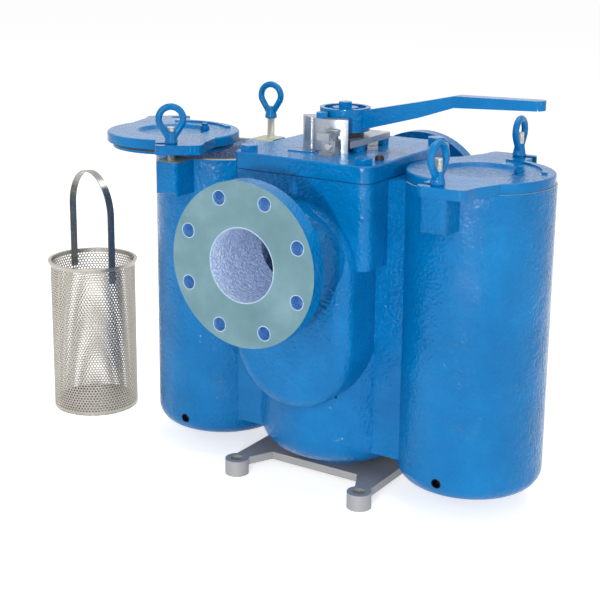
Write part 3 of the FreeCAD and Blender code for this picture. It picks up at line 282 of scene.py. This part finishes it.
def large_casting_enamel():
    """Enamel on the body casting, bare turned flange faces, bare seats on top and pale-primed insides, made
    lighter against their shade and flecked with painted glints.

    The places are told by where they are: beyond the flange faces along the pipe line, above the facing
    height, inside the bores of the pipe line, both chambers, the diverter's barrel and the outlet hump,
    on the broken edges of the flange's holes, which get a painted highlight, and in the two drain holes,
    which get painted shade. The walls of the drilled holes get a lighter blue as painted light."""
    finish = Finish("blue_enamel_on_body_casting", ENAMEL, specular=ENAMEL_GLEAM)
    places = finish.axes()
    from_pipe = from_axis(finish, places[0], 0.0, places[2], PIPE_LINE)
    face, seat, drilled = turned_places(finish, places, from_pipe)
    primed = primed_places(finish, places, from_pipe)
    bare = finish.math("MAXIMUM", face, seat)
    color, gloss = enamel(finish, 1.0, bare)
    rim, drain_shade = small_places(finish, places, from_pipe)
    rings = finish.math("SINE", finish.math("MULTIPLY", from_pipe, TURNING_RINGS))
    cloud = finish.noise(14.0, 5.0, 0.6)
    steel = finish.ramp(cloud, (0.3, (0.12, 0.225, 0.26)), (0.52, (0.15, 0.27, 0.31)),
                        (0.75, (0.21, 0.34, 0.39)))
    cream = finish.mix(cloud, (0.42, 0.45, 0.30), (0.62, 0.64, 0.50))
    # pale primer made lighter to offset the shade inside; the near-white top of the ramp gives painted
    # glints
    primer_and_glints = finish.ramp(finish.noise(330.0, 3.0, 0.7), (0.38, (0.34, 0.47, 0.74)),
                         (0.54, (0.58, 0.72, 0.95)), (0.66, (0.95, 0.97, 1.0)))
    # lighter blue on the walls of the drilled flange holes: painted light, for light reaching into them
    color = finish.mix(drilled, color, (0.14, 0.36, 0.72))
    color = finish.mix(primed, color, primer_and_glints)
    # near-black inside the drain holes: painted shade
    color = finish.mix(drain_shade, color, (0.004, 0.006, 0.012))
    color = finish.mix(seat, color, cream)
    # pale ring at the edges of the holes and bore on the flange face: painted highlight
    color = finish.mix(face, color, finish.mix(rim, steel, (0.40, 0.54, 0.66)))
    finish.link(color, "Base Color")
    finish.link(finish.math("MULTIPLY", bare, 0.35), "Metallic")
    turned_gloss = finish.math("ADD", finish.math("MULTIPLY", rings, 0.02), 0.42)
    finish.link(finish.mix(bare, finish.mix(primed, gloss, 0.5), turned_gloss), "Roughness")
    return finish


def machined_steel(name, color, roughness=0.32, scale=(900, 900, 40), metallic=0.85):
    """Bare steel with fine tool marks along one way and faint stains."""
    finish = Finish(name, color, metallic=metallic)
    marks = finish.noise(1.0, 3.0, 0.6, finish.stretched(scale))
    stains = finish.noise(22.0, 5.0, 0.65)
    finish.link(finish.mix(stains, tuple(0.8 * value for value in color), color), "Base Color")
    finish.link(finish.math("ADD", finish.math("MULTIPLY", marks, 0.25), roughness - 0.12), "Roughness")
    finish.bump(marks, 0.00012)
    return finish


def threaded_steel():
    """Zinc-plated stud steel whose thread is a wave in height that advances once round each turn."""
    finish = Finish("zinc_stud_thread", (0.68, 0.68, 0.64), metallic=0.85, roughness=0.34)
    z = finish.axes()[2]
    thread = finish.math("SINE", finish.math("MULTIPLY", z, 2 * math.pi / THREAD_PITCH))
    finish.bump(thread, 0.0006)
    return finish


def perforated_plate():
    """Stainless plate of the basket bottoms: rows of small holes, painted dark as the shade seen through
    them, in a bright, slightly brown sheet.
    """
    finish = Finish("stainless_perforated_plate", (0.5, 0.47, 0.42), metallic=0.8, roughness=0.4)
    node = finish.tree.nodes.new("ShaderNodeTexVoronoi")
    node.inputs["Scale"].default_value = 210.0
    node.inputs["Randomness"].default_value = 0.0
    finish.tree.links.new(finish.stretched((1.0, 1.0, 0.0), (0, 0, 0.5)), node.inputs["Vector"])
    holes = finish.ramp(node.outputs["Distance"], (0.28, 0.0), (0.36, 1.0))
    stains = finish.mix(finish.noise(25.0, 5.0), (0.34, 0.31, 0.27), (0.56, 0.53, 0.48))
    # the dark dots are painted shade standing for the holes
    finish.link(finish.mix(holes, (0.10, 0.09, 0.08), stains), "Base Color")
    finish.bump(holes, 0.0006)
    return finish


paint = large_casting_enamel()
smooth_paint = small_casting_enamel()
bonnet_paint = Finish("blue_enamel_on_bonnet", ENAMEL, specular=ENAMEL_GLEAM)
for socket, output in zip(("Base Color", "Roughness"), enamel(bonnet_paint, 0.7)):
    bonnet_paint.link(output, socket)
plate_steel = machined_steel("ground_steel", (0.40, 0.44, 0.49), 0.3, (60, 60, 1600))
zinc = machined_steel("zinc_steel", (0.68, 0.68, 0.66), 0.3, (400, 400, 400))
stud = threaded_steel()
bracket_steel = machined_steel("cast_bracket_steel", (0.42, 0.42, 0.42), 0.5, (160, 160, 160), 0.35)
basket_steel = machined_steel("stainless_sheet", (0.50, 0.47, 0.42), 0.3, (500, 500, 60))
strap_steel = machined_steel("stainless_strap", (0.34, 0.34, 0.33), 0.26, (80, 80, 30))
bronze = machined_steel("bronze", (0.6, 0.43, 0.2), 0.35, (600, 600, 60))
black = Finish("black_rubber", (0.012, 0.012, 0.013), roughness=0.5)
black.bump(black.noise(300.0), 0.0002)

gasket_fibre = Finish("painted_gasket_edge", (0.0, 0.035, 0.14), roughness=0.6, specular=ENAMEL_GLEAM)
gasket_fibre.bump(gasket_fibre.noise(400.0), 0.0003)

FINISH_OF_SLOT = {
    "blue_paint": smooth_paint, "bare_steel": plate_steel, "zinc_steel": zinc,
    "bracket_steel": bracket_steel, "stainless_steel": basket_steel, "basket_mesh": basket_steel,
    "bronze": bronze, "black_rubber": black,
    "gasket_fibre": gasket_fibre,
}
FINISH_OF_NODE = {
    "body_casting": paint, "bonnet": bonnet_paint, "cover_studs": stud, "basket_bottom": perforated_plate(),
    "basket_bail": strap_steel, "spare_basket_bail": strap_steel,
}
FINISH_OF_NODE["spare_basket_bottom"] = FINISH_OF_NODE["basket_bottom"]
for entry in frame["record"]["subparts"]:
    node = nodes[entry["node"]]
    finish = FINISH_OF_NODE.get(entry["node"], FINISH_OF_SLOT[entry["material_slot"]])
    node.data.materials.clear()
    node.data.materials.append(finish.material)


# ---- perforated basket walls ---------------------------------------------------------------------

def perforated_wall(shell_node, body):
    """A cylinder wall of six-sided holes in rows, every second row half a pitch round from the last.

    The wall is cut into R rows of N cells. A cell's border has six points: the ends and middles of its
    lower and upper edges. Its hole has six points on a small circle about the cell's middle, at 60 degrees
    from each other. Six quads join border to hole on the outer face, six on the inner face, and six line
    the hole; plain strips close the top and bottom edges."""
    low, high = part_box(shell_node)
    middle = ((low[0] + high[0]) / 2, (low[1] + high[1]) / 2)
    outer = (high[0] - low[0]) / 2
    radii = (outer, outer - SHEET)
    per_row, rows = 84, 55
    bottom, top = low[2] + BAND_FOOT, high[2] - BAND_HEAD
    pitch = 2 * math.pi / per_row
    rise = (top - bottom) / rows
    hole = 0.00205

    def on_wall(turn, height, radius):
        return np.stack([middle[0] + radius * np.cos(turn), middle[1] + radius * np.sin(turn),
                         height + 0 * turn], -1)

    border_turn = np.arange(2 * per_row) * pitch / 2
    border_height = bottom + np.arange(rows + 1) * rise
    turns, heights = np.meshgrid(border_turn, border_height)
    row, column = np.meshgrid(np.arange(rows), np.arange(per_row), indexing="ij")
    spokes = np.radians([-150, -90, -30, 30, 90, 150])
    centre_turn = (2 * column + row % 2 + 1) * pitch / 2
    hole_turn = centre_turn[..., None] + hole * np.cos(spokes) / outer
    hole_height = bottom + (row[..., None] + 0.5) * rise + hole * np.sin(spokes)
    points, layers = [], []
    count = 0
    for radius in radii:
        border = on_wall(turns, heights, radius)
        rim = on_wall(hole_turn, hole_height, radius)
        points += [border.reshape(-1, 3), rim.reshape(-1, 3)]
        layers.append((count, count + border.size // 3))
        count += (border.size + rim.size) // 3
    start = 2 * column + row % 2
    around = [(start + step) % (2 * per_row) for step in (0, 1, 2)]
    lower = [row * 2 * per_row + k for k in around]
    upper = [(row + 1) * 2 * per_row + k for k in around]
    border_index = np.stack([lower[0], lower[1], lower[2], upper[2], upper[1], upper[0]], -1)
    hole_index = (row * per_row + column)[..., None] * 6 + np.arange(6)
    faces = []
    for layer, (border_at, hole_at) in enumerate(layers):
        b, h = border_index + border_at, hole_index + hole_at
        quads = np.stack([b, np.roll(b, -1, -1), np.roll(h, -1, -1), h], -1).reshape(-1, 4)
        faces.append(quads if layer == 0 else quads[:, ::-1])
    front, back = hole_index + layers[0][1], hole_index + layers[1][1]
    faces.append(np.stack([front, np.roll(front, -1, -1), np.roll(back, -1, -1), back], -1).reshape(-1, 4))
    edge = np.arange(2 * per_row)
    following = np.roll(edge, -1)
    base, shift = layers[0][0], layers[1][0]
    crown = rows * 2 * per_row
    faces.append(np.stack([base + following, base + edge, shift + edge, shift + following], -1))
    faces.append(np.stack([base + crown + edge, base + crown + following, shift + crown + following,
                           shift + crown + edge], -1))
    wall = mesh_piece(shell_node.replace("shell", "perforated_wall"), np.concatenate(points),
                      np.concatenate(faces), body, False)
    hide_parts(shell_node)
    wall.data.materials.append(basket_steel.material)
    bands = (("foot_band", low[2], bottom + BAND_LAP), ("head_band", top - BAND_LAP, high[2]))
    for label, start_height, end_height in bands:
        plain_band(shell_node.replace("shell", label), middle, outer, outer - BAND,
                   start_height, end_height, body)


def plain_band(name, middle, outer, inner, bottom, top, body):
    """A plain hoop: the four corners of its section carried once round the basket's axis."""
    steps = 96
    turn = np.arange(steps) * 2 * math.pi / steps
    section = np.array([(outer, bottom), (outer, top), (inner, top), (inner, bottom)])
    points = np.stack([middle[0] + np.cos(turn)[:, None] * section[:, 0],
                       middle[1] + np.sin(turn)[:, None] * section[:, 0],
                       np.broadcast_to(section[:, 1], (96, 4))], -1)
    hoop = grid_piece(name, points, True, True, body, False)
    hoop.data.materials.append(basket_steel.material)


for shell in ("basket_shell", "spare_basket_shell"):
    perforated_wall(shell, "strainer")


# ---- floor, light and camera ---------------------------------------------------------------------

def seen_directly(tree):
    """1 for rays from the camera, from mirror-like surfaces and through clear ones, else 0."""
    path = tree.nodes.new("ShaderNodeLightPath")
    first = tree.nodes.new("ShaderNodeMath")
    first.operation = "MAXIMUM"
    second = tree.nodes.new("ShaderNodeMath")
    second.operation = "MAXIMUM"
    tree.links.new(path.outputs["Is Camera Ray"], first.inputs[0])
    tree.links.new(path.outputs["Is Glossy Ray"], first.inputs[1])
    tree.links.new(first.outputs["Value"], second.inputs[0])
    tree.links.new(path.outputs["Is Transmission Ray"], second.inputs[1])
    return second.outputs["Value"]


def floor():
    """A pale floor that reads white beside the shadow: its own colour and, for the eye, a little glow."""
    size = 30.0
    points = np.array([[-size, -size, 0], [size, -size, 0], [size, size, 0], [-size, size, 0]])
    mesh = bpy.data.meshes.new("floor")
    mesh.from_pydata(points.tolist(), [], [(0, 1, 2, 3)])
    piece = bpy.data.objects.new("floor", mesh)
    bpy.context.scene.collection.objects.link(piece)
    finish = Finish("pale_floor", (0.9, 0.9, 0.9), roughness=0.9, specular=0.0)
    finish.shader.inputs["Emission Color"].default_value = (1, 1, 1, 1)
    glow = finish.math("MULTIPLY", seen_directly(finish.tree), 0.6)
    finish.link(glow, "Emission Strength")
    mesh.materials.append(finish.material)
    return piece


def lamp(name, place, target, size, power):
    data = bpy.data.lights.new(name, "AREA")
    data.shape = "RECTANGLE"
    data.size, data.size_y = size
    data.energy = power
    piece = bpy.data.objects.new(name, data)
    piece.location = place
    piece.rotation_euler = (Vector(target) - Vector(place)).to_track_quat("-Z", "Y").to_euler()
    bpy.context.scene.collection.objects.link(piece)


def camera():
    """The viewing angle: from the right front, a little above the bonnet."""
    azimuth, elevation, roll = (math.radians(v) for v in (32.61, 13.39, 0.54))
    across, rise, distance = 0.0613, -0.3639, 2.0285
    back = Vector((math.sin(azimuth) * math.cos(elevation), -math.cos(azimuth) * math.cos(elevation),
                   math.sin(elevation)))
    right = Vector((0, 0, 1)).cross(back).normalized()
    up = back.cross(right)
    level_right, level_up = right.copy(), up.copy()
    right = level_right * math.cos(roll) + level_up * math.sin(roll)
    up = level_up * math.cos(roll) - level_right * math.sin(roll)
    data = bpy.data.cameras.new("camera")
    data.lens = 1297.7 / 600 * 36
    data.sensor_width = 36
    data.shift_y = (228 - 300) / 600
    data.clip_end = 100
    piece = bpy.data.objects.new("camera", data)
    turn = Matrix((right, up, back)).transposed().to_4x4()
    piece.matrix_world = Matrix.Translation(right * -across + up * -rise + back * distance) @ turn
    bpy.context.scene.collection.objects.link(piece)
    bpy.context.scene.camera = piece


floor()
lamp("key", (0.9, -3.1, 1.7), (0, 0, 0.28), (0.8, 1.3), 24)
lamp("low", (0.95, -2.95, 0.62), (0.05, 0, 0.28), (0.1, 0.2), 36)
lamp("left", (-2.4, -1.6, 1.6), (0, 0, 0.3), (1.0, 1.6), 2)
lamp("right", (2.9, -0.9, 1.0), (0, 0, 0.3), (1.0, 1.4), 12)
lamp("top", (0.2, 0.4, 3.0), (0, 0, 0.3), (2.0, 2.0), 48)
camera()

world = bpy.data.worlds.new("world")
bpy.context.scene.world = world
world.use_nodes = True
world.node_tree.nodes["Background"].inputs["Color"].default_value = (1, 1, 1, 1)
lift = world.node_tree.nodes.new("ShaderNodeMath")
lift.operation = "MULTIPLY_ADD"
lift.inputs[1].default_value = 0.58
lift.inputs[2].default_value = 0.42
world.node_tree.links.new(seen_directly(world.node_tree), lift.inputs[0])
world.node_tree.links.new(lift.outputs["Value"], world.node_tree.nodes["Background"].inputs["Strength"])
bpy.context.scene.view_settings.view_transform = "Standard"
